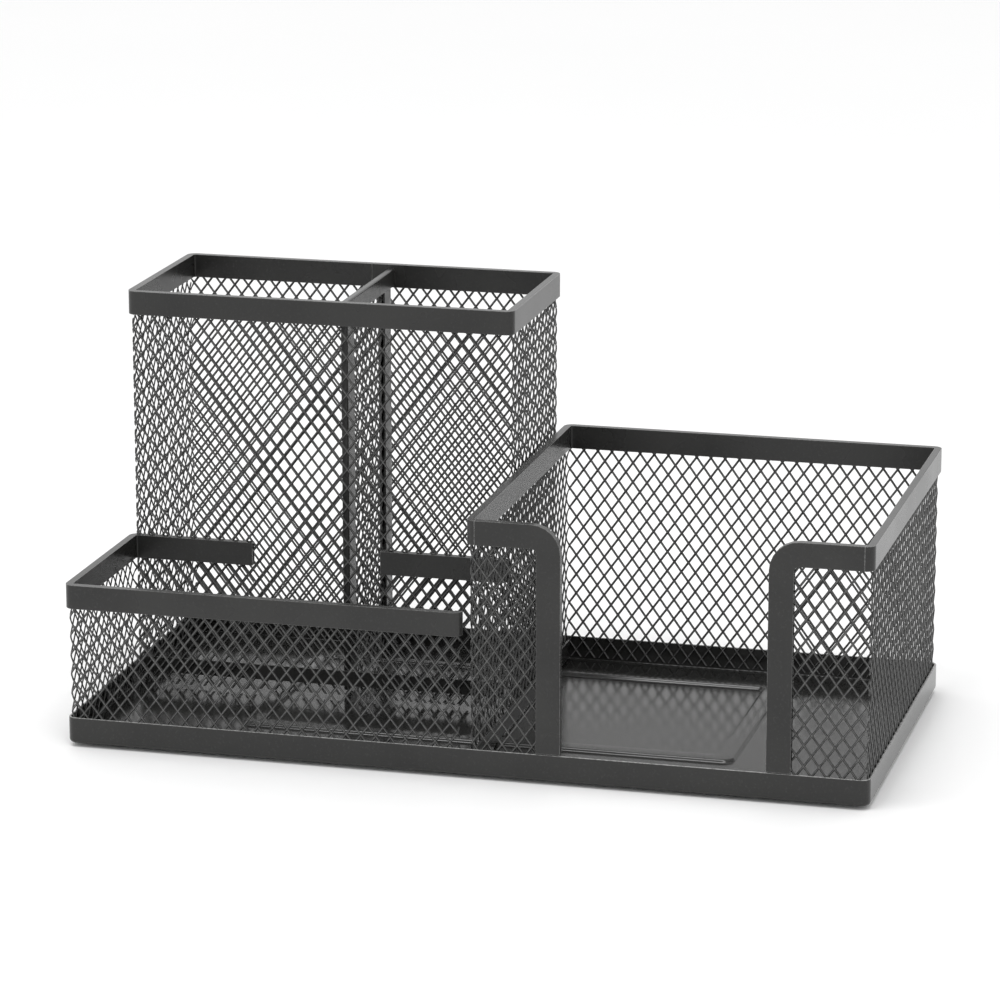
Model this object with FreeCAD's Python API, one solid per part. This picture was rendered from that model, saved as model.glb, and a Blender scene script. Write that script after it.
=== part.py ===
import FreeCAD, Part
import os

# Desk organizer in black painted steel: a stamped base pan that carries a tall pen cup with a
# partition, a low tray in front of it, and a note holder with an open front. Walls are expanded
# metal, bound along every free edge by folded sheet-steel bands.
# Millimetres, +Z up, +Y to the back, origin on the desk under the middle of the base.

# --- overall sizes ---
WIDTH = 220.0
DEPTH = 111.0
FOOT_HEIGHT = 1.0
PEN_HEIGHT = 113.8          # rim heights are measured from the underside of the pan
NOTE_HEIGHT = 69.9
TRAY_HEIGHT = 44.5

# --- plan of the three holders ---
HOLDER_CORNER = 2.5         # radius of every upright corner
PEN_WIDTH = 110.5
PEN_DEPTH = 55.5
NOTE_WIDTH = 108.2
TRAY_LAP_LEFT = 36.0        # how far each end of the tray wall laps onto the pen cup
TRAY_LAP_RIGHT = 37.5

# --- base pan ---
SHEET = 0.6
LIP_HEIGHT = 7.3
PAN_EDGE_BEND = 0.8
BEAD_WIDTH = 6.0
BEAD_HEIGHT = 0.9
BEAD_FLANK = 0.6
BEAD_OUTER_CORNER = 3.0
BEAD_INNER_CORNER = 1.5
BEAD_INSET_SIDE = 40.8
BEAD_INSET_FRONT = 25.0
BEAD_INSET_BACK = 12.0

# --- feet ---
FOOT_RADIUS = 4.5
FOOT_INSET = 13.0

# --- folded bands and mesh ---
BAND_HEIGHT = 6.6
BAND_THICKNESS = 2.0
BAND_SHEET = 0.5
BAND_EDGE = 0.35
MESH_INSET = 0.6
MESH_THICKNESS = 0.8
MESH_SHORT = 1.0            # the mesh ends this far inside the outer edge of its band

# --- pen cup partition ---
PARTITION_FROM_LEFT = 61.0
PARTITION_END_GAP = 5.9     # from the cup's outer face to the partition's end strips
PARTITION_DROP = 1.0
RAIL_HEIGHT = 5.0
STRIP_WIDTH = 6.5

# --- strips along the foot of the inner walls ---
HEM_HEIGHT = 4.4
PEN_HEM_LIFT = 3.0
NOTE_HEM_HEIGHT = 5.2

# --- note holder's open front ---
POST_WIDTH = BAND_HEIGHT
LEFT_CHEEK_WIDTH = 25.7
RIGHT_CHEEK_WIDTH = 27.4
FRAME_OUTER_BEND = 8.0
FRAME_INNER_BEND = FRAME_OUTER_BEND - BAND_HEIGHT

# --- levels and edges worked out from the sizes ---
LEFT, RIGHT = -WIDTH / 2, WIDTH / 2
FRONT, BACK = -DEPTH / 2, DEPTH / 2
UNDERSIDE = FOOT_HEIGHT
FLOOR = UNDERSIDE + SHEET
LIP_TOP = UNDERSIDE + LIP_HEIGHT
WALL_FOOT = FLOOR + BEAD_HEIGHT         # walls stand on top of the pressed bead
PEN_TOP = UNDERSIDE + PEN_HEIGHT
NOTE_TOP = UNDERSIDE + NOTE_HEIGHT
TRAY_TOP = UNDERSIDE + TRAY_HEIGHT

PEN_FRONT = BACK - PEN_DEPTH
TRAY_BACK = PEN_FRONT + MESH_INSET      # the tray's lapped ends bear on the cup's mesh
PEN_PLAN = (LEFT, LEFT + PEN_WIDTH, PEN_FRONT, BACK)
TRAY_PLAN = (LEFT, LEFT + PEN_WIDTH, FRONT, TRAY_BACK)
NOTE_PLAN = (RIGHT - NOTE_WIDTH, RIGHT, FRONT, BACK)

CLEAR = 1.0                             # how far a cutting solid runs past the work
SAME_PLACE = 1e-6                       # two coordinates closer than this are equal


def block(x0, x1, y0, y1, z0, z1):
    return Part.makeBox(x1 - x0, y1 - y0, z1 - z0, FreeCAD.Vector(x0, y0, z0))


def upright_edges(shape):
    return [e for e in shape.Edges
            if abs(e.Vertexes[0].X - e.Vertexes[-1].X) < SAME_PLACE
            and abs(e.Vertexes[0].Y - e.Vertexes[-1].Y) < SAME_PLACE]


def rounded_block(plan, inset, z0, z1, corner=HOLDER_CORNER):
    """A block on the plan, drawn in by the inset, with rounded upright corners."""
    x0, x1, y0, y1 = plan
    solid = block(x0 + inset, x1 - inset, y0 + inset, y1 - inset, z0, z1)
    return solid.makeFillet(corner - inset, upright_edges(solid))


def wall_ring(plan, inset, thickness, z0, z1, corner=HOLDER_CORNER):
    outer = rounded_block(plan, inset, z0, z1, corner)
    inner = rounded_block(plan, inset + thickness, z0 - CLEAR, z1 + CLEAR, corner)
    return outer.cut(inner)


def edges_at_height(shape, z):
    return [e for e in shape.Edges if all(abs(v.Z - z) < SAME_PLACE for v in e.Vertexes)]


def folded_rim(plan, top):
    """A band folded over the mesh: outer flange, top, inner flange, and a slot from below."""
    ring = wall_ring(plan, 0.0, BAND_THICKNESS, top - BAND_HEIGHT, top)
    ring = ring.makeFillet(BAND_EDGE, edges_at_height(ring, top))
    slot_width = BAND_THICKNESS - 2 * BAND_SHEET
    slot = wall_ring(plan, BAND_SHEET, slot_width, top - BAND_HEIGHT - CLEAR, top - BAND_SHEET)
    return ring.cut(slot)


def mesh_ring(plan, top):
    return wall_ring(plan, MESH_INSET, MESH_THICKNESS, WALL_FOOT, top - MESH_SHORT)


def side_zones(plan):
    """The four stretches of a wall ring: front and back take the rounded corners with them."""
    x0, x1, y0, y1 = plan
    low, high = 0.0, PEN_TOP + CLEAR
    front_edge, back_edge = y0 + HOLDER_CORNER, y1 - HOLDER_CORNER
    middle = (x0 + x1) / 2
    return {
        "front": block(x0 - CLEAR, x1 + CLEAR, y0 - CLEAR, front_edge, low, high),
        "back": block(x0 - CLEAR, x1 + CLEAR, back_edge, y1 + CLEAR, low, high),
        "left": block(x0 - CLEAR, middle, front_edge, back_edge, low, high),
        "right": block(middle, x1 + CLEAR, front_edge, back_edge, low, high),
    }


def bead_ring(margin, z0, z1):
    """The pressed bead as a solid ring, its two sides drawn in by the margin."""
    plan = (LEFT + BEAD_INSET_SIDE, RIGHT - BEAD_INSET_SIDE,
            FRONT + BEAD_INSET_FRONT, BACK - BEAD_INSET_BACK)
    outer = rounded_block(plan, margin, z0, z1, BEAD_OUTER_CORNER)
    inner = rounded_block(plan, BEAD_WIDTH - margin, z0 - CLEAR, z1 + CLEAR,
                          BEAD_WIDTH + BEAD_INNER_CORNER)
    ring = outer.cut(inner)
    return ring.makeChamfer(BEAD_FLANK, edges_at_height(ring, z1))


def base_pan():
    plan = (LEFT, RIGHT, FRONT, BACK)
    pan = rounded_block(plan, 0.0, UNDERSIDE, LIP_TOP)
    pan = pan.makeFillet(PAN_EDGE_BEND, edges_at_height(pan, UNDERSIDE))
    pan = pan.cut(rounded_block(plan, SHEET, FLOOR, LIP_TOP + CLEAR))
    bead_top = FLOOR + BEAD_HEIGHT
    bead = bead_ring(0.0, FLOOR - SHEET / 2, bead_top)
    hollow = bead_ring(SHEET, UNDERSIDE - CLEAR, bead_top - SHEET)
    return pan.fuse(bead).cut(hollow).removeSplitter()


def foot(x, y):
    return Part.makeCylinder(FOOT_RADIUS, FOOT_HEIGHT, FreeCAD.Vector(x, y, 0.0))


def feet():
    return {
        "foot_front_left": foot(LEFT + FOOT_INSET, FRONT + FOOT_INSET),
        "foot_front_right": foot(RIGHT - FOOT_INSET, FRONT + FOOT_INSET),
        "foot_back_left": foot(LEFT + FOOT_INSET, BACK - FOOT_INSET),
        "foot_back_right": foot(RIGHT - FOOT_INSET, BACK - FOOT_INSET),
    }


def pen_cup():
    ring = mesh_ring(PEN_PLAN, PEN_TOP)
    pieces = {"pen_mesh_" + side: ring.common(zone)
              for side, zone in side_zones(PEN_PLAN).items()}
    pieces["pen_rim"] = folded_rim(PEN_PLAN, PEN_TOP)
    hem_foot = WALL_FOOT + PEN_HEM_LIFT
    pieces["pen_front_hem"] = block(LEFT + HOLDER_CORNER, LEFT + PEN_WIDTH - HOLDER_CORNER,
                                    PEN_FRONT, PEN_FRONT + MESH_INSET,
                                    hem_foot, hem_foot + HEM_HEIGHT)
    return pieces


def partition():
    """The cup's partition: a mesh panel in a top rail and two end strips, all folded channels."""
    centre = LEFT + PARTITION_FROM_LEFT
    half_band = BAND_THICKNESS / 2
    half_slot = half_band - BAND_SHEET
    half_mesh = MESH_THICKNESS / 2
    front_end = PEN_FRONT + PARTITION_END_GAP
    back_end = BACK - PARTITION_END_GAP
    rail_top = PEN_TOP - PARTITION_DROP
    rail_foot = rail_top - RAIL_HEIGHT

    rail = block(centre - half_band, centre + half_band,
                 PEN_FRONT + BAND_THICKNESS, BACK - BAND_THICKNESS, rail_foot, rail_top)
    rail = rail.makeFillet(BAND_EDGE, edges_at_height(rail, rail_top))
    rail = rail.cut(block(centre - half_slot, centre + half_slot, front_end, back_end,
                          rail_foot - CLEAR, rail_top - BAND_SHEET))

    def end_strip(y0, y1, slot_y0, slot_y1):
        strip = block(centre - half_band, centre + half_band, y0, y1, WALL_FOOT, rail_foot)
        slot = block(centre - half_slot, centre + half_slot, slot_y0, slot_y1,
                     WALL_FOOT - CLEAR, rail_foot + CLEAR)
        return strip.cut(slot)

    return {
        "divider_mesh": block(centre - half_mesh, centre + half_mesh,
                              front_end + MESH_SHORT, back_end - MESH_SHORT,
                              WALL_FOOT, rail_top - MESH_SHORT),
        "divider_top_rail": rail,
        "divider_front_strip": end_strip(front_end, front_end + STRIP_WIDTH,
                                         front_end + BAND_SHEET, front_end + STRIP_WIDTH + CLEAR),
        "divider_back_strip": end_strip(back_end - STRIP_WIDTH, back_end,
                                        back_end - STRIP_WIDTH - CLEAR, back_end - BAND_SHEET),
    }


def tray():
    """A wrapped wall whose two ends lap onto the pen cup, open along the note holder's side."""
    x0, x1, y0, y1 = TRAY_PLAN
    zones = side_zones(TRAY_PLAN)
    left_lap_end = x0 + TRAY_LAP_LEFT
    right_lap_start = x1 - TRAY_LAP_RIGHT
    mesh = mesh_ring(TRAY_PLAN, TRAY_TOP)
    rear = mesh.common(zones["back"])
    rim = folded_rim(TRAY_PLAN, TRAY_TOP)
    lap_gap = block(left_lap_end, right_lap_start, y1 - HOLDER_CORNER, y1 + CLEAR, 0.0, PEN_TOP)
    rim_pieces = rim.cut(zones["right"]).cut(lap_gap).Solids
    rim_pieces.sort(key=lambda solid: solid.Volume)
    return {
        "tray_mesh_front": mesh.common(zones["front"]),
        "tray_mesh_left": mesh.common(zones["left"]),
        "tray_mesh_lap_left": rear.common(block(x0, left_lap_end, y0, y1, 0.0, PEN_TOP)),
        "tray_mesh_lap_right": rear.common(block(right_lap_start, x1, y0, y1, 0.0, PEN_TOP)),
        "tray_rim": rim_pieces[1],
        "tray_rear_band": rim_pieces[0],
    }


def cheek_outline(x_side, x_opening, top, bend, y0, y1, foot_level):
    """A front cheek from the holder's side to the opening, its upper opening corner rounded."""
    solid = block(min(x_side, x_opening), max(x_side, x_opening), y0, y1, foot_level, top)
    corner = [e for e in solid.Edges
              if all(abs(v.X - x_opening) < SAME_PLACE and abs(v.Z - top) < SAME_PLACE for v in e.Vertexes)]
    return solid.makeFillet(bend, corner)


def front_frame(x_side, x_opening):
    """The folded band that runs along a cheek's top and turns down into a post at the opening.

    Above the pan's lip it is flush with the lip; below, only the part behind the lip goes on.
    """
    inward = 1.0 if x_opening > x_side else -1.0
    band_start = x_side + inward * HOLDER_CORNER
    outline = cheek_outline(band_start, x_opening, NOTE_TOP, FRAME_OUTER_BEND,
                            FRONT, FRONT + BAND_THICKNESS, FLOOR)
    void = cheek_outline(band_start - inward * CLEAR, x_opening - inward * POST_WIDTH,
                         NOTE_TOP - BAND_HEIGHT, FRAME_INNER_BEND,
                         FRONT - CLEAR, FRONT + BAND_THICKNESS + CLEAR, FLOOR - CLEAR)
    slot = cheek_outline(band_start - inward * CLEAR, x_opening - inward * BAND_SHEET,
                         NOTE_TOP - BAND_SHEET, FRAME_OUTER_BEND - BAND_SHEET,
                         FRONT + BAND_SHEET, FRONT + BAND_THICKNESS - BAND_SHEET, FLOOR - CLEAR)
    behind_lip = block(LEFT, RIGHT, FRONT - CLEAR, FRONT + SHEET, FLOOR - CLEAR, LIP_TOP)
    return outline.cut(void).cut(slot).cut(behind_lip)


def cheek_mesh(ring, x_side, x_opening):
    inward = 1.0 if x_opening > x_side else -1.0
    outline = cheek_outline(x_side, x_opening - inward * MESH_SHORT,
                            NOTE_TOP - MESH_SHORT, FRAME_OUTER_BEND - MESH_SHORT,
                            FRONT, FRONT + HOLDER_CORNER, WALL_FOOT)
    return ring.common(outline)


def note_holder():
    x0, x1, y0, y1 = NOTE_PLAN
    zones = side_zones(NOTE_PLAN)
    mesh = mesh_ring(NOTE_PLAN, NOTE_TOP)
    left_opening = x0 + LEFT_CHEEK_WIDTH
    right_opening = x1 - RIGHT_CHEEK_WIDTH
    front_run = block(x0 + HOLDER_CORNER, x1 - HOLDER_CORNER, y0 - CLEAR, y0 + HOLDER_CORNER,
                      0.0, PEN_TOP)
    hem_face = x0 + MESH_INSET + MESH_THICKNESS
    return {
        "note_mesh_left": mesh.common(zones["left"]),
        "note_mesh_back": mesh.common(zones["back"]),
        "note_mesh_right": mesh.common(zones["right"]),
        "note_mesh_cheek_left": cheek_mesh(mesh, x0, left_opening),
        "note_mesh_cheek_right": cheek_mesh(mesh, x1, right_opening),
        "note_rim": folded_rim(NOTE_PLAN, NOTE_TOP).cut(front_run),
        "note_frame_left": front_frame(x0, left_opening),
        "note_frame_right": front_frame(x1, right_opening),
        "note_left_hem": block(hem_face, hem_face + MESH_INSET,
                               y0 + HOLDER_CORNER, y1 - HOLDER_CORNER,
                               WALL_FOOT, WALL_FOOT + NOTE_HEM_HEIGHT),
    }


def build():
    pieces = {"base_pan": base_pan()}
    for group in (feet(), pen_cup(), partition(), tray(), note_holder()):
        pieces.update(group)
    return pieces


os.makedirs("parts", exist_ok=True)
for name, shape in build().items():
    solids = shape.Solids
    assert len(solids) == 1 and solids[0].isValid(), name
    solids[0].exportStep("parts/" + name + ".step")
    print(name, round(solids[0].Volume / 1000, 3), "cm3")
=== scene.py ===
import math

import bmesh
import bpy
from mathutils import Matrix, Vector, noise


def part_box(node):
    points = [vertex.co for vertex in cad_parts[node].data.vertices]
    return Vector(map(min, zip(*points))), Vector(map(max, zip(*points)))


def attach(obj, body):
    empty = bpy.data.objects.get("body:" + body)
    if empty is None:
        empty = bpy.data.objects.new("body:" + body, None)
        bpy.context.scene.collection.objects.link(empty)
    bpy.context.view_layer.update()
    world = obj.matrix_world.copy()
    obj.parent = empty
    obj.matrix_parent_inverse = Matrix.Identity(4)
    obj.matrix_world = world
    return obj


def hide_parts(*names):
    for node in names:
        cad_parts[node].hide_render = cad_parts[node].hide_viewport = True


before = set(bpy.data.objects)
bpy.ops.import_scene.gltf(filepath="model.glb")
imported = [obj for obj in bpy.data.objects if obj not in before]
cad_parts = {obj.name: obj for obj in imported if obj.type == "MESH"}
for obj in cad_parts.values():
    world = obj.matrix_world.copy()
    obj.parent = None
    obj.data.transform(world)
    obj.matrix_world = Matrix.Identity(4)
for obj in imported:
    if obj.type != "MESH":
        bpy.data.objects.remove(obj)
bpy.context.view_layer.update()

MM = 0.001
BODY = "root"
TURN = math.pi / 2

# Expanded metal
DIAMOND_WIDE = 4.1 * MM
PEN_DIAMOND_TALL = 5.28 * MM
NOTE_DIAMOND_TALL = 5.65 * MM
STRAND = 0.41 * MM
STRAND_DEPTH = 0.46 * MM
STRAND_TWIST = 0.08 * MM
KNOT_THICKENING = 0.93
NET_MIDDLE = 0.4 * MM
NET_RIPPLE = 0.07 * MM
NET_RIPPLES_PER_METRE = 45.0
NET_SHORT = 1.0 * MM
NET_BEND_STEPS = 3
CHEEK_CORNER_CUTS = 5

# How far each separately cut panel's net is shifted along the wall and up. The first keeps the cuts
# off the knots. The other two are not sizes of the object: they are worked out so that, from this
# scene's camera, the knots of the net behind fall on those of the net in front.
NET_SHIFT = (0.6 * MM, 0.9 * MM)
PEN_BACK_SHIFT = (1.9 * MM, 1.73 * MM)
RIGHT_CHEEK_SHIFT = (3.5 * MM, 3.2 * MM)

# Folded bands
SHEET = 0.5 * MM
BAND = 6.6 * MM
BAND_THICK = 2.0 * MM
FOLD_ROUND = 0.5 * MM
CUT_EDGE = 0.08 * MM
CORNER = 2.5 * MM
FRAME_BEND = 8.0 * MM
BUTT_GAP = 0.08 * MM
RUN_STEP = 12 * MM
CORNER_STEPS = 6
FOLD_STEPS = 4
SMOOTH_UNDER = math.radians(34)
SHEET_WAVER = 0.04 * MM
BAND_WAVERS_PER_METRE = 30.0
LIP_WAVERS_PER_METRE = 25.0
WAVER_SEED = 7

# Base pan
PAN_SHEET = 0.6 * MM
PAN_BEND = 0.45 * MM
LIP_ROUND = 0.2 * MM
BEAD_WIDTH = 6.0 * MM
BEAD_HEIGHT = 0.9 * MM
BEAD_FLANK = 1.0 * MM
BEAD_INSET = {"side": 40.8 * MM, "front": 25.0 * MM, "back": 12.0 * MM}
BEAD_OUTER_CORNER = 3.0 * MM
BEAD_INNER_CORNER = 1.5 * MM

# Fits
POST_GAP = 0.25 * MM
TONGUE_CLEARANCE = 0.02 * MM
HEM_ROUND = 0.12 * MM
FOOT_ROUND = 0.3 * MM
FOOT_DISH = 0.15 * MM
FOOT_SIDES = 40
FOOT_DISH_SHARE = 0.6

# Mesh tolerances
ON_PLANE = 1e-7
WELD_STRANDS = 0.001 * MM
WELD_PIECE = 0.002 * MM

# Paint
PAINT_SPECULAR = 0.42
FLAKE = (0.045, 0.045, 0.044)
# Paler grey laid on edges and crowns: partly worn paint, partly painted highlight; on strand crowns
# and the lip's top it is painted highlight only.
WEAR_AND_HIGHLIGHT_GREY = (0.34, 0.34, 0.335)
CLOUD_SCALE = 38.0
SPECKLE_SCALE = 1400.0
PEEL_SCALE = 1900.0
SWELL_SCALE = 60.0
PEEL_DEPTH = 0.02 * MM
# How far the edge mask of worn paint and painted highlight reaches into the flat faces.
EDGE_MASK_REACH = 0.30 * MM


# ---------------------------------------------------------------- mesh helpers

def outward(bm):
    bmesh.ops.remove_doubles(bm, verts=bm.verts, dist=WELD_PIECE)
    bmesh.ops.recalc_face_normals(bm, faces=bm.faces)
    if bm.calc_volume(signed=True) < 0:
        bmesh.ops.reverse_faces(bm, faces=bm.faces)


def soften(bm):
    """Smooth shading, with the edges sharper than a soft bend left crisp."""
    for face in bm.faces:
        face.smooth = True
    for edge in bm.edges:
        edge.smooth = len(edge.link_faces) == 2 and edge.calc_face_angle(0.0) < SMOOTH_UNDER


def finished(bm, name, material, slot, *nodes):
    mesh = bpy.data.meshes.new(name)
    bm.to_mesh(mesh)
    bm.free()
    mesh.materials.append(material)
    piece = bpy.data.objects.new(name, mesh)
    bpy.context.scene.collection.objects.link(piece)
    if any(face.use_smooth for face in mesh.polygons):
        shading = piece.modifiers.new("even_shading", "WEIGHTED_NORMAL")
        shading.keep_sharp = True
    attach(piece, BODY)
    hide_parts(*nodes)
    return piece


def close_ends(bm):
    bmesh.ops.holes_fill(bm, edges=[e for e in bm.edges if e.is_boundary], sides=0)


def trim(bm, point, normal):
    """Cut away what lies on the normal's side of a plane, and close the cut ends."""
    geometry = bm.verts[:] + bm.edges[:] + bm.faces[:]
    bmesh.ops.bisect_plane(bm, geom=geometry, dist=ON_PLANE, plane_co=point, plane_no=normal,
                           clear_outer=True)
    close_ends(bm)


# ---------------------------------------------------------------- expanded metal

def diamond_lattice(width, height, tall, start, lift):
    """A flat net of strands on X and Z, from 0 to width and 0 to height, both faces closed.

    Its knots lie where an endless net's would, so that walls side by side share one net."""
    bm = bmesh.new()
    crown = bm.verts.layers.float.new("crown")
    count = int(width / DIAMOND_WIDE + height / tall) + 6
    count += count % 2
    bmesh.ops.create_grid(bm, x_segments=count, y_segments=count, size=count / 2)
    centre_u = round((start + width / 2) / DIAMOND_WIDE) * DIAMOND_WIDE - start
    centre_z = round((lift + height / 2) / tall) * tall - lift
    lean = Matrix(((DIAMOND_WIDE / 2, -DIAMOND_WIDE / 2, 0, centre_u),
                   (0, 0, 1, 0),
                   (tall / 2, tall / 2, 0, centre_z),
                   (0, 0, 0, 1)))
    bmesh.ops.transform(bm, matrix=lean, verts=bm.verts)
    far = [f for f in bm.faces if not
           (-DIAMOND_WIDE < f.calc_center_median().x < width + DIAMOND_WIDE
            and -tall < f.calc_center_median().z < height + tall)]
    bmesh.ops.delete(bm, geom=far, context="FACES")

    knots = set(bm.verts)
    openings = bm.faces[:]
    bmesh.ops.inset_individual(bm, faces=openings, thickness=STRAND / 2, use_even_offset=True)
    for hole in openings:
        middle = hole.calc_center_median()
        for vert in hole.verts:
            vert.co = middle + (vert.co - middle) * KNOT_THICKENING
            vert.co.y += STRAND_TWIST * (middle.x - vert.co.x) / (DIAMOND_WIDE / 2)
    bmesh.ops.delete(bm, geom=openings, context="FACES_ONLY")

    # The strands' crowns get the crown attribute, which the net's paint turns into a painted
    # highlight.
    ridge = [v for v in bm.verts if v in knots]
    for vert in ridge:
        vert.co.y -= STRAND_DEPTH / 2
        vert[crown] = 1.0
    back = bmesh.ops.duplicate(bm, geom=bm.verts[:] + bm.edges[:] + bm.faces[:])
    for vert in ridge:
        twin = back["vert_map"][vert]
        twin.co.y += STRAND_DEPTH
    bmesh.ops.remove_doubles(bm, verts=bm.verts, dist=WELD_STRANDS)
    return bm


def bend_end(bm, at, radius, side):
    """Bend the stretch beyond `at` a quarter turn towards +Y, as round a corner former."""
    for step in range(NET_BEND_STEPS + 1):
        offset = side * step * radius * TURN / NET_BEND_STEPS
        geometry = bm.verts[:] + bm.edges[:] + bm.faces[:]
        bmesh.ops.bisect_plane(bm, geom=geometry, dist=ON_PLANE,
                               plane_co=(at + offset, 0, 0), plane_no=(1, 0, 0))
    for vert in bm.verts:
        past = side * (vert.co.x - at)
        if past <= 0:
            continue
        angle = min(past / radius, TURN)
        straight = max(past - radius * TURN, 0)
        reach = radius - vert.co.y
        vert.co.x = at + side * reach * math.sin(angle)
        vert.co.y = radius - reach * math.cos(angle) + straight


FACING = {
    "front": Matrix.Identity(4),
    "right": Matrix.Rotation(TURN, 4, "Z"),
    "back": Matrix.Rotation(2 * TURN, 4, "Z"),
    "left": Matrix.Rotation(-TURN, 4, "Z"),
}


def mesh_wall(node, facing, tall, bends="", shift=NET_SHIFT, clipped=None):
    """One wall of expanded metal in the place of its CAD sheet. Returns its unrolled length."""
    low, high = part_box(node)
    size = high - low
    across, deep = (size.x, size.y) if facing in ("front", "back") else (size.y, size.x)
    radius = deep - NET_MIDDLE if bends else 0.0
    arc = radius * TURN
    flat = across - deep * len(bends)
    left_arc = arc if "l" in bends else 0.0
    length = flat + arc * len(bends)

    start, lift = shift
    bm = diamond_lattice(length, size.z, tall, start, lift)
    trim(bm, (0, 0, 0), (-1, 0, 0))
    trim(bm, (length, 0, 0), (1, 0, 0))
    trim(bm, (0, 0, 0), (0, 0, -1))
    trim(bm, (0, 0, size.z), (0, 0, 1))
    if clipped:
        clip_corner(bm, clipped, left_arc, left_arc + flat, size.z)
    if "r" in bends:
        bend_end(bm, left_arc + flat, radius, 1)
    if "l" in bends:
        bend_end(bm, left_arc, radius, -1)

    for vert in bm.verts:
        ripple = noise.noise(Vector((vert.co.x, start, vert.co.z)) * NET_RIPPLES_PER_METRE)
        vert.co.y += ripple * NET_RIPPLE
    flat_from = deep if "l" in bends else 0.0
    bmesh.ops.translate(bm, verts=bm.verts,
                        vec=(flat_from - left_arc - across / 2, NET_MIDDLE - deep / 2, 0))
    middle = (low + high) / 2
    place = Matrix.Translation((middle.x, middle.y, low.z)) @ FACING[facing]
    bmesh.ops.transform(bm, matrix=place, verts=bm.verts)
    outward(bm)
    finished(bm, node + "_net", net_paint, "mesh_paint", node)
    return length


def clip_corner(bm, side, flat_start, flat_end, top):
    """Round off a cheek's upper corner beside the opening, inside the frame's bend."""
    radius = FRAME_BEND - NET_SHORT
    at_x, sign = (flat_end, 1) if side == "r" else (flat_start, -1)
    centre = Vector((at_x - sign * radius, 0, top - radius))
    for cut in range(CHEEK_CORNER_CUTS):
        angle = TURN * (cut + 0.5) / CHEEK_CORNER_CUTS
        normal = Vector((sign * math.cos(angle), 0, math.sin(angle)))
        trim(bm, centre + normal * radius, normal)


# ---------------------------------------------------------------- folded bands

def rounded(bm, verts, radius, steps):
    bmesh.ops.bevel(bm, geom=verts, offset=radius, offset_type="OFFSET", affect="VERTICES",
                    segments=steps, profile=0.5, material=-1)


def fold_section(bm, width, thick):
    """Edges of a band's section on Y and Z: a sheet folded over the mesh, its two flanges down."""
    corners = [(0, 0), (SHEET, 0), (SHEET, width - SHEET), (thick - SHEET, width - SHEET),
               (thick - SHEET, 0), (thick, 0), (thick, width), (0, width)]
    verts = [bm.verts.new((0, y, z)) for y, z in corners]
    bm.faces.new(verts)
    rounded(bm, [v for v in verts if v.co.z == width], FOLD_ROUND, FOLD_STEPS)
    rounded(bm, [v for v in bm.verts if v.co.z == 0], CUT_EDGE, 1)
    bmesh.ops.delete(bm, geom=bm.faces[:], context="FACES_ONLY")
    return bm.edges[:]


def sweep(bm, section, moves):
    """Carry a section along straight runs and quarter turns. It starts heading along +X, with
    +Y to its left and +Z up; every turn is to the left."""
    heading = Matrix.Identity(4)
    for kind, amount in moves:
        if kind == "run":
            steps = max(1, round(amount / RUN_STEP))
            stride = heading.to_3x3() @ Vector((amount / steps, 0, 0))
            for _ in range(steps):
                grown = bmesh.ops.extrude_edge_only(bm, edges=section)["geom"]
                moved = [g for g in grown if isinstance(g, bmesh.types.BMVert)]
                section = [g for g in grown if isinstance(g, bmesh.types.BMEdge)
                           and all(v in moved for v in g.verts)]
                bmesh.ops.translate(bm, verts=moved, vec=stride)
            heading = heading @ Matrix.Translation((amount, 0, 0))
        else:
            to_pivot = Matrix.Translation((0, amount, 0))
            spun = bmesh.ops.spin(bm, geom=section, cent=heading @ Vector((0, amount, 0)),
                                  axis=(0, 0, 1), angle=TURN, steps=CORNER_STEPS)
            section = [g for g in spun["geom_last"] if isinstance(g, bmesh.types.BMEdge)]
            heading = heading @ to_pivot @ Matrix.Rotation(TURN, 4, "Z") @ to_pivot.inverted()
    close_ends(bm)


def waver(bm, amount):
    """The slight unevenness of hand-fed sheet metal."""
    for vert in bm.verts:
        push = noise.noise_vector(vert.co * BAND_WAVERS_PER_METRE)
        vert.co += Vector((push.x, push.y, 0.4 * push.z)) * amount


def band(node, moves, place, width=BAND, thick=BAND_THICK):
    bm = bmesh.new()
    sweep(bm, fold_section(bm, width, thick), moves)
    bmesh.ops.transform(bm, matrix=place, verts=bm.verts)
    outward(bm)
    waver(bm, SHEET_WAVER)
    soften(bm)
    finished(bm, node + "_fold", band_paint, "band_paint", node)


# ---------------------------------------------------------------- materials

def nodes_of(name):
    material = bpy.data.materials.new(name)
    material.use_nodes = True
    tree = material.node_tree
    tree.nodes.clear()
    output = tree.nodes.new("ShaderNodeOutputMaterial")
    shader = tree.nodes.new("ShaderNodeBsdfPrincipled")
    tree.links.new(shader.outputs["BSDF"], output.inputs["Surface"])
    coords = tree.nodes.new("ShaderNodeTexCoord")
    return material, tree, shader, coords.outputs["Object"]


def noise_of(tree, where, scale, detail=3.0, roughness=0.5):
    node = tree.nodes.new("ShaderNodeTexNoise")
    node.inputs["Scale"].default_value = scale
    node.inputs["Detail"].default_value = detail
    node.inputs["Roughness"].default_value = roughness
    tree.links.new(where, node.inputs["Vector"])
    return node.outputs["Fac"]


def mapped(tree, value, from_low, from_high, to_low, to_high):
    node = tree.nodes.new("ShaderNodeMapRange")
    for socket, number in zip(("From Min", "From Max", "To Min", "To Max"),
                              (from_low, from_high, to_low, to_high)):
        node.inputs[socket].default_value = number
    tree.links.new(value, node.inputs["Value"])
    return node.outputs["Result"]


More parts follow.
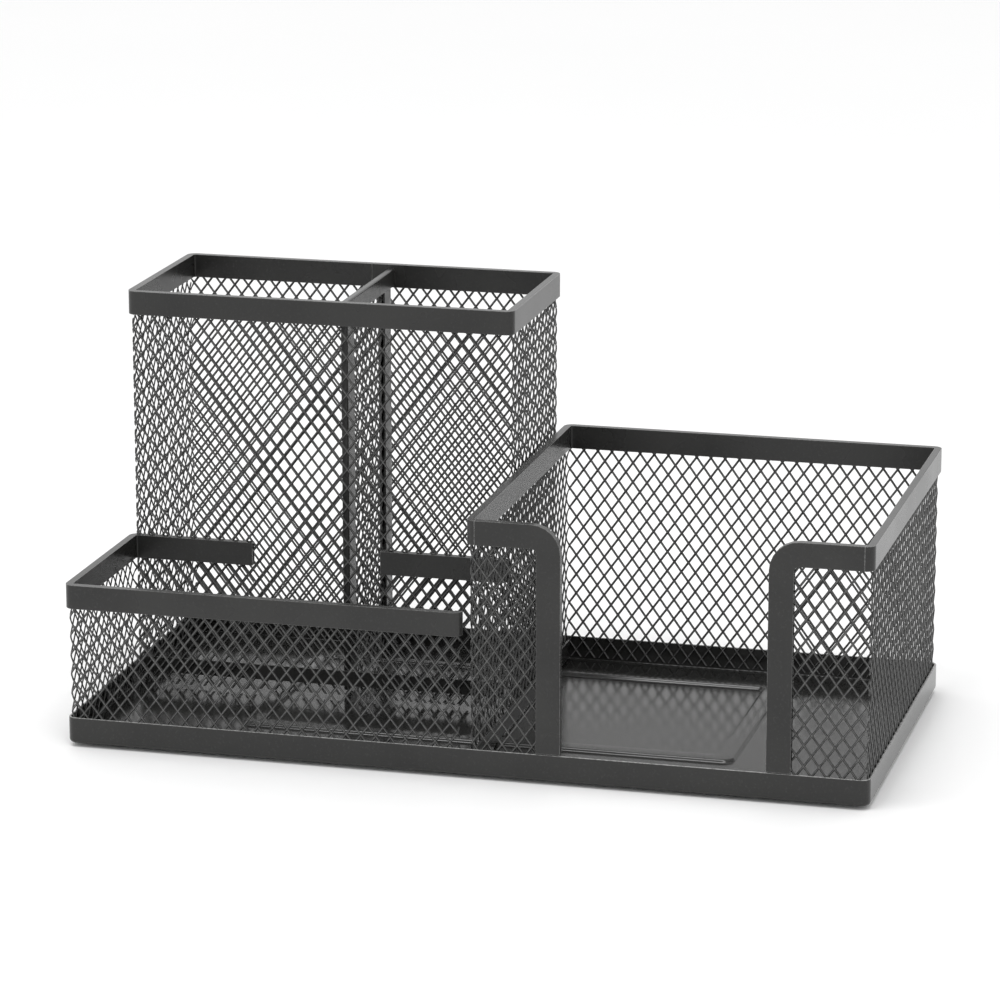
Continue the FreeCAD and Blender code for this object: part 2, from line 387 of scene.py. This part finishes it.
def blended(tree, factor, first, second):
    node = tree.nodes.new("ShaderNodeMix")
    node.data_type = "RGBA"
    for socket, value in ((node.inputs["Factor"], factor), (node.inputs["A"], first),
                          (node.inputs["B"], second)):
        if isinstance(value, bpy.types.NodeSocket):
            tree.links.new(value, socket)
        else:
            socket.default_value = value
    return node.outputs["Result"]


def bumped(tree, shader, height, strength, distance):
    node = tree.nodes.new("ShaderNodeBump")
    node.inputs["Strength"].default_value = strength
    node.inputs["Distance"].default_value = distance
    tree.links.new(height, node.inputs["Height"])
    tree.links.new(node.outputs["Normal"], shader.inputs["Normal"])


def math_node(tree, operation, first, second):
    node = tree.nodes.new("ShaderNodeMath")
    node.operation = operation
    for socket, value in zip(node.inputs, (first, second)):
        if isinstance(value, bpy.types.NodeSocket):
            tree.links.new(value, socket)
        else:
            socket.default_value = value
    return node.outputs[0]


def worn_and_highlit_edges(tree, reach):
    """1 along the sharp bends and cut edges, falling to 0 a little way into the flat faces; it lays
    worn paint and a painted edge highlight.
    """
    rounding = tree.nodes.new("ShaderNodeBevel")
    rounding.samples = 6
    rounding.inputs["Radius"].default_value = reach
    facing = tree.nodes.new("ShaderNodeNewGeometry")
    agree = tree.nodes.new("ShaderNodeVectorMath")
    agree.operation = "DOT_PRODUCT"
    tree.links.new(rounding.outputs["Normal"], agree.inputs[0])
    tree.links.new(facing.outputs["Normal"], agree.inputs[1])
    return mapped(tree, agree.outputs["Value"], 0.80, 0.99, 1.0, 0.0)


def powder_coat(name, dark, light, roughness, grain, edges, wavy=0.0):
    """Black powder coat: cloudy gloss, a fine orange-peel skin, and a paler grey along edges and
    crowns, partly worn paint and partly painted highlight.
    """
    material, tree, shader, place = nodes_of(name)
    clouds = noise_of(tree, place, CLOUD_SCALE, 4.0)
    speckle = noise_of(tree, place, SPECKLE_SCALE, 3.0, 0.7)
    colour = blended(tree, mapped(tree, clouds, 0.35, 0.65, 0.0, 1.0), (*dark, 1), (*light, 1))
    colour = blended(tree, mapped(tree, speckle, 0.56, 0.70, 0.0, 0.35), colour, (*FLAKE, 1))
    gloss = mapped(tree, clouds, 0.3, 0.7, roughness - 0.03, roughness + 0.04)
    broken = mapped(tree, speckle, 0.38, 0.58, 0.35, 1.0)
    # Where the paler grey goes: worn paint and painted highlight on the edges, painted highlight
    # alone on the crowns.
    pale_wear_and_highlight = math_node(tree, "MULTIPLY", edges(tree), broken)
    colour = blended(tree, pale_wear_and_highlight, colour, (*WEAR_AND_HIGHLIGHT_GREY, 1))
    gloss = math_node(tree, "ADD", gloss, math_node(tree, "MULTIPLY", pale_wear_and_highlight, 0.08))
    tree.links.new(colour, shader.inputs["Base Color"])
    tree.links.new(gloss, shader.inputs["Roughness"])
    shader.inputs["Specular IOR Level"].default_value = PAINT_SPECULAR
    peel = noise_of(tree, place, PEEL_SCALE, 2.0)
    if wavy:
        swell = math_node(tree, "MULTIPLY", noise_of(tree, place, SWELL_SCALE, 1.0), wavy)
        peel = math_node(tree, "ADD", peel, swell)
    bumped(tree, shader, peel, grain, PEEL_DEPTH)
    return material


def crown_painted_highlight(tree, from_value, strongest):
    """Painted highlight along a strand's crown or a lip's top, from the piece's own attribute."""
    crown = tree.nodes.new("ShaderNodeAttribute")
    crown.attribute_name = "crown"
    return mapped(tree, crown.outputs["Fac"], from_value, 1.0, 0.0, strongest)


def sheet_edges(tree):
    return math_node(tree, "MULTIPLY", worn_and_highlit_edges(tree, EDGE_MASK_REACH), 0.6)


def pan_edges(tree):
    """Painted highlight on the top of the lip, as well as worn paint and painted highlight on the
    sharp edges.
    """
    return math_node(tree, "MAXIMUM", crown_painted_highlight(tree, 0.1, 0.9), sheet_edges(tree))


# Painted highlight along the strands' crowns.
def strand_painted_highlight(tree):
    return crown_painted_highlight(tree, 0.45, 0.4)


def feet_rubber():
    material, tree, shader, place = nodes_of("feet_rubber")
    mottle = noise_of(tree, place, 300.0, 4.0)
    tree.links.new(blended(tree, mottle, (0.018, 0.018, 0.018, 1), (0.035, 0.034, 0.033, 1)),
                   shader.inputs["Base Color"])
    tree.links.new(mapped(tree, mottle, 0.3, 0.7, 0.75, 0.9), shader.inputs["Roughness"])
    bumped(tree, shader, noise_of(tree, place, 1500.0), 0.4, 0.05 * MM)
    return material


band_paint = powder_coat("band_powder_coat", (0.012, 0.012, 0.0115), (0.019, 0.019, 0.018),
                         0.26, 0.05, sheet_edges)
pan_paint = powder_coat("pan_powder_coat", (0.013, 0.013, 0.0125), (0.018, 0.018, 0.017),
                        0.14, 0.09, pan_edges, wavy=4.0)
net_paint = powder_coat("net_powder_coat", (0.012, 0.012, 0.012), (0.020, 0.020, 0.019),
                        0.28, 0.15, strand_painted_highlight)
rubber = feet_rubber()


# ---------------------------------------------------------------- walls of expanded metal

def wrapped_wall(tall, *panels):
    """Panels that were one strip: the net runs on unbroken from each to the next."""
    reached, lift = NET_SHIFT
    for node, facing, bends in panels:
        reached += mesh_wall(node, facing, tall, bends, (reached, lift))


def net_walls():
    wrapped_wall(PEN_DIAMOND_TALL, ("pen_mesh_front", "front", "lr"),
                 ("pen_mesh_right", "right", ""))
    mesh_wall("pen_mesh_left", "left", PEN_DIAMOND_TALL)
    mesh_wall("pen_mesh_back", "back", PEN_DIAMOND_TALL, "lr", PEN_BACK_SHIFT)
    wrapped_wall(NOTE_DIAMOND_TALL, ("note_mesh_right", "right", ""),
                 ("note_mesh_back", "back", "lr"), ("note_mesh_left", "left", ""))
    wrapped_wall(PEN_DIAMOND_TALL, ("tray_mesh_lap_left", "back", "r"),
                 ("tray_mesh_left", "left", ""), ("tray_mesh_front", "front", "lr"))
    mesh_wall("tray_mesh_lap_right", "back", PEN_DIAMOND_TALL, "l")
    mesh_wall("note_mesh_cheek_left", "front", NOTE_DIAMOND_TALL, "l", clipped="r")
    mesh_wall("note_mesh_cheek_right", "front", NOTE_DIAMOND_TALL, "r", RIGHT_CHEEK_SHIFT, "l")
    mesh_wall("divider_mesh", "right", PEN_DIAMOND_TALL)


# ---------------------------------------------------------------- rims and frames

def placed(x, y, z, quarter_turns=0):
    return Matrix.Translation((x, y, z)) @ Matrix.Rotation(quarter_turns * TURN, 4, "Z")


def sides_of(node):
    low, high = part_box(node)
    return low, high, high.x - low.x - 2 * CORNER, high.y - low.y - 2 * CORNER


def pen_rim():
    """Bent from one strip, its two ends butted together in the middle of the back."""
    low, high, wide, deep = sides_of("pen_rim")
    half = wide / 2 - BUTT_GAP
    moves = [("run", half), ("turn", CORNER), ("run", deep), ("turn", CORNER), ("run", wide),
             ("turn", CORNER), ("run", deep), ("turn", CORNER), ("run", half)]
    band("pen_rim", moves, placed((low.x + high.x) / 2 - BUTT_GAP, high.y, low.z, 2))


def note_rim():
    low, high, wide, deep = sides_of("note_rim")
    moves = [("turn", CORNER), ("run", deep), ("turn", CORNER), ("run", wide),
             ("turn", CORNER), ("run", deep), ("turn", CORNER)]
    band("note_rim", moves, placed(high.x - CORNER, low.y, low.z))


def tray_rims():
    low, high, wide, deep = sides_of("tray_rim")
    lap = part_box("tray_mesh_lap_left")[1].x - low.x - CORNER
    moves = [("run", lap), ("turn", CORNER), ("run", deep), ("turn", CORNER), ("run", wide),
             ("turn", CORNER)]
    band("tray_rim", moves, placed(low.x + CORNER + lap, high.y, low.z, 2))
    low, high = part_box("tray_rear_band")
    band("tray_rear_band", [("turn", CORNER), ("run", high.x - low.x - CORNER)],
         placed(high.x, high.y - CORNER, low.z, 1))


def front_frame(node, inward):
    """Along the cheek's top, round the bend and down the post to a hair above the pan's lip."""
    low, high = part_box(node)
    lip_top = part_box("base_pan")[1].z
    bm = bmesh.new()
    section = fold_section(bm, BAND, BAND_THICK)
    lie_flat = Matrix(((1, 0, 0, 0), (0, 0, -1, BAND), (0, 1, 0, 0), (0, 0, 0, 1)))
    bmesh.ops.transform(bm, matrix=lie_flat, verts=bm.verts)
    down = high.z - lip_top - FRAME_BEND - POST_GAP
    sweep(bm, section, [("run", high.x - low.x - FRAME_BEND), ("turn", FRAME_BEND), ("run", down)])
    outer_x = low.x if inward > 0 else high.x
    stand = Matrix(((inward, 0, 0, outer_x), (0, 0, 1, low.y), (0, -1, 0, high.z), (0, 0, 0, 1)))
    bmesh.ops.transform(bm, matrix=stand, verts=bm.verts)

    tongue = bmesh.ops.create_cube(bm, size=1.0)["verts"]
    tongue_front = low.y + PAN_SHEET + TONGUE_CLEARANCE
    tongue_back = low.y + BAND_THICK
    post_x = high.x - BAND / 2 if inward > 0 else low.x + BAND / 2
    bmesh.ops.scale(bm, vec=(BAND - SHEET, tongue_back - tongue_front, lip_top - low.z), verts=tongue)
    bmesh.ops.translate(bm, verts=tongue, vec=(post_x, (tongue_front + tongue_back) / 2,
                                               (lip_top + low.z) / 2))
    outward(bm)
    waver(bm, SHEET_WAVER)
    soften(bm)
    finished(bm, node + "_fold", band_paint, "band_paint", node)


# ---------------------------------------------------------------- partition and hems

def partition_channels():
    """Folded channels that hold the partition's mesh: a rail on top and a strip at each end."""
    low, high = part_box("divider_top_rail")
    thick = high.x - low.x
    band("divider_top_rail", [("run", high.y - low.y)], placed(high.x, low.y, low.z, 1),
         high.z - low.z, thick)
    for node, toward in (("divider_front_strip", -1), ("divider_back_strip", 1)):
        low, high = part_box(node)
        fold_y = low.y if toward < 0 else high.y
        foot = high.z if toward < 0 else low.z
        upright = Matrix(((0, 1, 0, low.x), (0, 0, toward, fold_y - toward * (high.y - low.y)),
                          (toward, 0, 0, foot), (0, 0, 0, 1)))
        band(node, [("run", high.z - low.z)], upright, high.y - low.y, thick)


def hem(node):
    low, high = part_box(node)
    bm = bmesh.new()
    bmesh.ops.create_cube(bm, size=1.0)
    bmesh.ops.scale(bm, vec=high - low, verts=bm.verts)
    bmesh.ops.translate(bm, vec=(low + high) / 2, verts=bm.verts)
    bmesh.ops.bevel(bm, geom=bm.edges[:], offset=HEM_ROUND, offset_type="OFFSET", affect="EDGES",
                    segments=2, profile=0.5, material=-1)
    soften(bm)
    finished(bm, node + "_strip", band_paint, "band_paint", node)


# ---------------------------------------------------------------- base pan and feet

def bead_stations(low, high, floor, thinner=0.0):
    """From the inner foot of the pressed bead, over its flat top, to its outer foot."""
    bead_low = low + Vector((BEAD_INSET["side"] + thinner, BEAD_INSET["front"] + thinner, 0))
    bead_high = high - Vector((BEAD_INSET["side"] + thinner, BEAD_INSET["back"] + thinner, 0))
    width = BEAD_WIDTH - 2 * thinner
    climb = [step / FOLD_STEPS for step in range(FOLD_STEPS + 1)]
    profile = [(BEAD_FLANK * t, t) for t in climb]
    profile += [(width - offset, t) for offset, t in reversed(profile)]
    stations = []
    for offset, t in reversed(profile):
        radius = BEAD_OUTER_CORNER + (BEAD_INNER_CORNER - BEAD_OUTER_CORNER) * offset / width
        inward = Vector((offset, offset, 0))
        rise = BEAD_HEIGHT * t * t * (3 - 2 * t)
        stations.append((bead_low + inward, bead_high - inward, floor + rise, radius))
    return stations


def bend_stations(low, high, inset, level, radius, first_quarter, turn):
    """A quarter round of the pan's edge, about a centre that far in from its side."""
    stations = []
    for step in range(FOLD_STEPS + 1):
        angle = TURN * (first_quarter + turn * step / FOLD_STEPS)
        away = inset + radius * math.cos(angle)
        inward = Vector((away, away, 0))
        rise = level + radius * math.sin(angle)
        stations.append((low + inward, high - inward, rise, CORNER - away))
    return stations


def corner_centre(low, high, radius, right, rear):
    """Centre of the arc at one corner of a rounded rectangle."""
    return Vector((high.x - radius if right else low.x + radius,
                   high.y - radius if rear else low.y + radius, 0))


def plan_skin(bm, stations):
    """A closed skin grown ring by ring through rounded rectangles, each level at its height."""
    low, high, level, radius = stations[0]
    verts = bmesh.ops.create_grid(bm, x_segments=1, y_segments=1, size=0.5)["verts"]
    bmesh.ops.scale(bm, vec=(high.x - low.x, high.y - low.y, 1), verts=verts)
    bmesh.ops.translate(bm, vec=((low.x + high.x) / 2, (low.y + high.y) / 2, level), verts=verts)
    rounded(bm, verts, radius, CORNER_STEPS)
    ring = bm.edges[:]
    for station in stations[1:]:
        next_low, next_high, level, next_radius = station
        grown = bmesh.ops.extrude_edge_only(bm, edges=ring)["geom"]
        verts = [g for g in grown if isinstance(g, bmesh.types.BMVert)]
        ring = [g for g in grown if isinstance(g, bmesh.types.BMEdge)
                and all(v in verts for v in g.verts)]
        for vert in verts:
            corner = (vert.co.x > (low.x + high.x) / 2, vert.co.y > (low.y + high.y) / 2)
            spoke = vert.co - corner_centre(low, high, radius, *corner)
            centre = corner_centre(next_low, next_high, next_radius, *corner)
            vert.co = centre + spoke * next_radius / radius
            vert.co.z = level
        low, high, radius = next_low, next_high, next_radius
    bmesh.ops.contextual_create(bm, geom=ring)


def base_pan():
    """One closed skin: the top of the floor, up and over the lip, and back along the underside."""
    low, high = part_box("base_pan")
    floor = low.z + PAN_SHEET
    outer_bend = PAN_BEND + PAN_SHEET
    lip_shoulder = high.z - LIP_ROUND
    stations = bead_stations(low, high, floor)
    stations += bend_stations(low, high, outer_bend, floor + PAN_BEND, PAN_BEND, 3, -1)
    stations += bend_stations(low, high, PAN_SHEET - LIP_ROUND, lip_shoulder, LIP_ROUND, 0, 1)
    stations += bend_stations(low, high, LIP_ROUND, lip_shoulder, LIP_ROUND, 1, 1)
    stations += bend_stations(low, high, outer_bend, low.z + outer_bend, outer_bend, 2, 1)
    stations += reversed(bead_stations(low, high, low.z, PAN_SHEET / 2))
    bm = bmesh.new()
    crown = bm.verts.layers.float.new("crown")
    plan_skin(bm, stations)
    outward(bm)
    # The top of the lip gets the crown attribute, which the pan's paint turns into a painted
    # highlight.
    for vert in bm.verts:
        if high.z - vert.co.z < LIP_ROUND / 2:
            vert[crown] = 1.0
    waver_lip(bm, floor)
    soften(bm)
    finished(bm, "base_pan_pressing", pan_paint, "pan_paint", "base_pan")


def waver_lip(bm, floor):
    for vert in bm.verts:
        if vert.co.z > floor + BEAD_HEIGHT:
            push = noise.noise_vector(vert.co * LIP_WAVERS_PER_METRE)
            vert.co += Vector((push.x, push.y, 0)) * SHEET_WAVER


def foot(node):
    low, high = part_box(node)
    bm = bmesh.new()
    radius = (high.x - low.x) / 2
    bmesh.ops.create_cone(bm, cap_ends=True, segments=FOOT_SIDES, radius1=radius, radius2=radius,
                          depth=high.z - low.z)
    bmesh.ops.translate(bm, vec=(low + high) / 2, verts=bm.verts)
    base = min(bm.faces, key=lambda face: face.calc_center_median().z)
    bmesh.ops.inset_region(bm, faces=[base], thickness=radius * FOOT_DISH_SHARE)
    bmesh.ops.translate(bm, verts=base.verts, vec=(0, 0, FOOT_DISH))
    treads = [e for e in bm.edges if all(abs(v.co.z - low.z) < FOOT_DISH / 2 for v in e.verts)
              and e.calc_face_angle(0.0) > SMOOTH_UNDER]
    bmesh.ops.bevel(bm, geom=treads, offset=FOOT_ROUND, offset_type="OFFSET", affect="EDGES",
                    segments=3, profile=0.5, material=-1)
    soften(bm)
    finished(bm, node + "_pad", rubber, "foot_rubber", node)


noise.seed_set(WAVER_SEED)
net_walls()
pen_rim()
note_rim()
tray_rims()
front_frame("note_frame_left", 1)
front_frame("note_frame_right", -1)
partition_channels()
hem("pen_front_hem")
hem("note_left_hem")
base_pan()
for corner in ("front_left", "front_right", "back_left", "back_right"):
    foot("foot_" + corner)


# ---------------------------------------------------------------- studio

def studio_floor():
    bm = bmesh.new()
    bmesh.ops.create_grid(bm, x_segments=1, y_segments=1, size=3.0)
    mesh = bpy.data.meshes.new("table")
    bm.to_mesh(mesh)
    bm.free()
    table = bpy.data.objects.new("table", mesh)
    bpy.context.scene.collection.objects.link(table)
    material, tree, shader, place = nodes_of("pale_table")
    shader.inputs["Roughness"].default_value = 0.6
    tint = blended(tree, noise_of(tree, place, 3.0), (0.90, 0.90, 0.90, 1), (0.93, 0.93, 0.93, 1))
    tree.links.new(tint, shader.inputs["Base Color"])
    mesh.materials.append(material)


def soft_light(name, place, aim, size, power):
    light = bpy.data.lights.new(name, "AREA")
    light.shape = "RECTANGLE"
    light.size, light.size_y = size
    light.energy = power
    lamp = bpy.data.objects.new(name, light)
    lamp.location = place
    lamp.rotation_euler = (Vector(aim) - Vector(place)).to_track_quat("-Z", "Y").to_euler()
    bpy.context.scene.collection.objects.link(lamp)


def sky():
    world = bpy.data.worlds.new("studio")
    world.use_nodes = True
    background = world.node_tree.nodes["Background"]
    background.inputs["Color"].default_value = (1.0, 1.0, 1.0, 1)
    background.inputs["Strength"].default_value = 1.04
    bpy.context.scene.world = world


def camera():
    lens = bpy.data.cameras.new("camera")
    lens.sensor_width = 36.0
    lens.lens = 158.14
    lens.clip_end = 20.0
    view = bpy.data.objects.new("camera", lens)
    view.location = (289.35 * MM, -1125.6 * MM, 364.2 * MM)
    view.rotation_euler = (math.radians(90 - 14.562), 0.0, math.radians(14.567))
    bpy.context.scene.collection.objects.link(view)
    bpy.context.scene.camera = view


studio_floor()
sky()
soft_light("overhead", (-0.05, -0.28, 0.95), (0, 0, 0.03), (0.6, 0.2), 3.0)
camera()
bpy.context.scene.view_settings.view_transform = "Standard"
